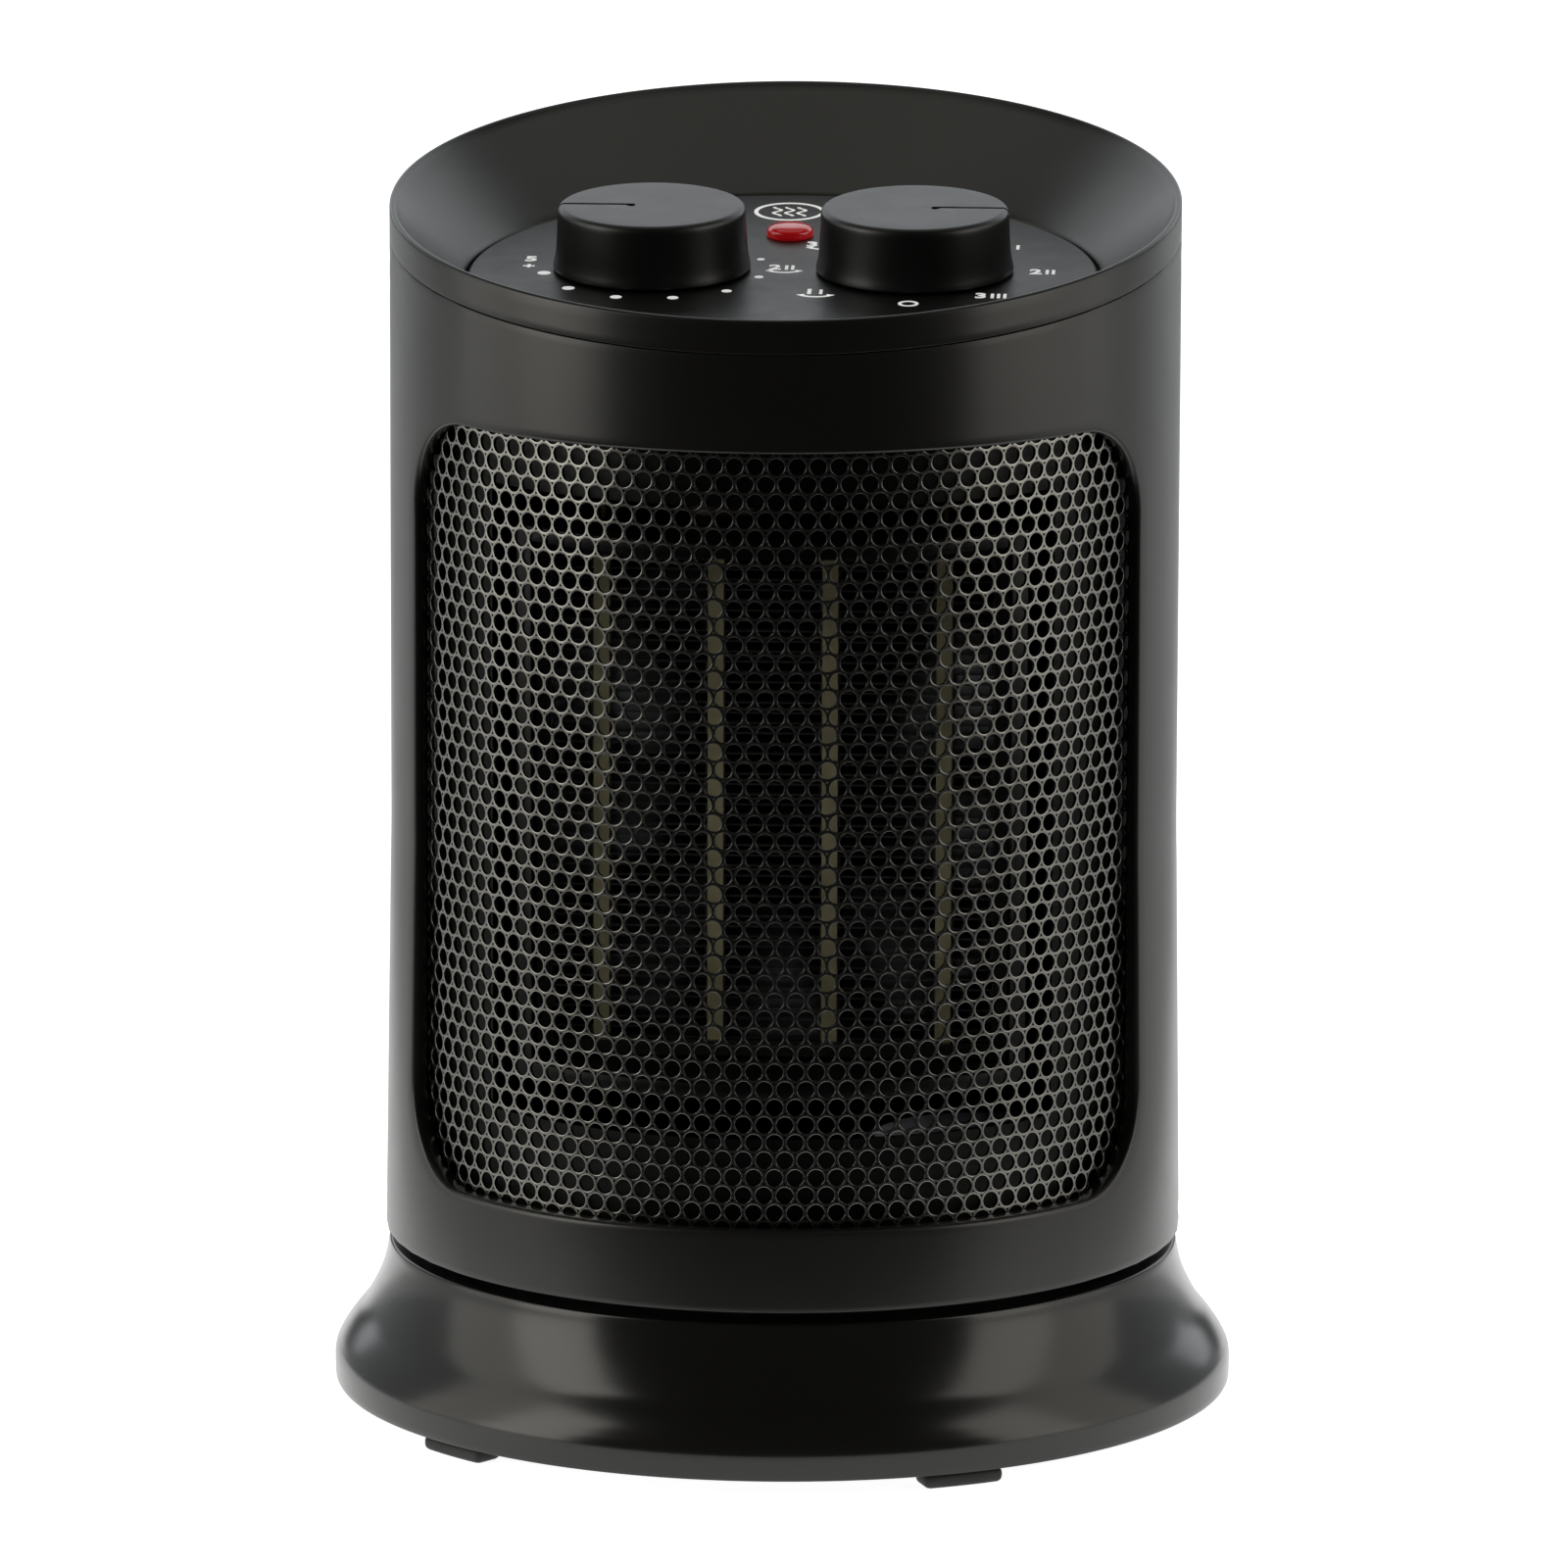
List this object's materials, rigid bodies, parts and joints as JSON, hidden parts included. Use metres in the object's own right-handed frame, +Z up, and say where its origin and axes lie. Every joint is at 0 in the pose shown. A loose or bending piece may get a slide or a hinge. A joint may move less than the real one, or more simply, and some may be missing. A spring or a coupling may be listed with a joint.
{
  "type": "ceramic space heater",
  "caption": "Upright cylindrical ceramic fan heater with perforated front grille, slanted rim over a sunk control panel with rotary knobs, and a flared oscillating base.",
  "frame": {"origin": "centre of the circle of feet, on the surface that the heater stands on", "axes": "+Z up, along the casing's axis; the grille and controls face -Y; the base stands turned 9.2 degrees clockwise against the casing, as the oscillation was stopped"},
  "size_m": [0.1768, 0.1768, 0.2497],
  "materials": {
    "casing_plastic": "satin black",
    "base_plastic": "semi-gloss black",
    "panel_plastic": "fine matt black",
    "knob_plastic": "satin black",
    "inner_plastic": "plain moulded",
    "duct_plastic": "heat-resistant, plain moulded",
    "fan_plastic": "plain moulded",
    "switch_plastic": "plain moulded",
    "gland_plastic": "plain moulded",
    "phenolic": "thermoset",
    "acetal": "natural acetal",
    "lens_red": "clear red, polished",
    "lamp_glass": "clear",
    "grille_metal": "black powder coat",
    "ceramic": "matt ceramic in its insulating sleeve",
    "aluminium": "mill",
    "brass": "plain",
    "steel": "zinc plated",
    "cast_steel": "raw",
    "lamination": "stacked sheet",
    "coil_tape": "wound wire under tape",
    "foot_rubber": "matt"
  },
  "bodies": {
    "base": {"base_cover": "base_plastic", "base_plate": "inner_plastic", "rubber_feet": "foot_rubber", "ballast_weight": "cast_steel", "turntable_ring": "acetal", "pivot_hub": "inner_plastic", "hub_retainer": "steel", "fixed_gear": "acetal", "tip_switch": "switch_plastic", "tip_bracket": "steel", "plunger_spring": "steel", "cord_gland": "gland_plastic", "base_screws": "steel"},
    "fan": {"fan_impeller": "fan_plastic", "motor_shaft": "steel", "motor_rotor": "lamination"},
    "thermostat_control": {"thermostat_knob": "knob_plastic", "thermostat_shaft": "acetal"},
    "mode_control": {"mode_knob": "knob_plastic", "mode_shaft": "acetal"},
    "osc_drive": {"osc_pinion": "acetal"},
    "tip_sensor": {"tip_plunger": "acetal"},
    "housing": {"front_housing": "casing_plastic", "rear_housing": "casing_plastic", "housing_screws": "steel", "top_ring": "casing_plastic", "control_panel": "panel_plastic", "indicator_lens": "lens_red", "neon_lamp": "lamp_glass", "thermostat_body": "phenolic", "mode_switch_body": "phenolic", "switch_nuts": "steel", "front_grille": "grille_metal", "outlet_bezel": "duct_plastic", "air_duct": "duct_plastic", "ptc_frame": "aluminium", "ptc_ceramic_strips": "ceramic", "ptc_fins": "aluminium", "ptc_terminals": "brass", "thermal_cutout": "phenolic", "thermal_fuse": "steel", "fan_shroud": "duct_plastic", "motor_stator": "lamination", "motor_coil": "coil_tape", "motor_bracket_front": "steel", "motor_bracket_rear": "steel", "motor_bearings": "brass", "motor_screws": "steel", "housing_floor": "inner_plastic", "floor_screws": "steel", "osc_motor": "steel", "terminal_block": "switch_plastic"}
  },
  "joints": [
    {"name": "oscillate", "type": "hinge", "parent": "base", "child": "housing", "pos_m": [0, 0, 0.035], "axis": [0, 0, 1], "range_deg": [-44, 26]},
    {"name": "thermostat_turn", "type": "hinge", "parent": "housing", "child": "thermostat_control", "pos_m": [-0.0255, -0.00851, 0.22485], "axis": [0, -0.0995, 0.995], "range_deg": [0, 240]},
    {"name": "mode_turn", "type": "hinge", "parent": "housing", "child": "mode_control", "pos_m": [0.0255, -0.00851, 0.22485], "axis": [0, -0.0995, 0.995], "range_deg": [-225, 45]},
    {"name": "fan_spin", "type": "hinge", "parent": "housing", "child": "fan", "pos_m": [0, 0, 0.1275], "axis": [0, 1, 0], "continuous": true},
    {"name": "pinion_spin", "type": "hinge", "parent": "housing", "child": "osc_drive", "pos_m": [0.03, 0, 0.027], "axis": [0, 0, 1], "range_deg": [-135, 81]},
    {"name": "tip_plunge", "type": "slide", "parent": "base", "child": "tip_sensor", "axis": [0, 0, 1], "range_m": [-0.004, 0], "stiffness_N_per_m": 40, "springref_m": -0.012, "deforming": ["plunger_spring"]}
  ],
  "couplings": [
    {"joint": "pinion_spin", "follows": "oscillate", "ratio": 3}
  ]
}
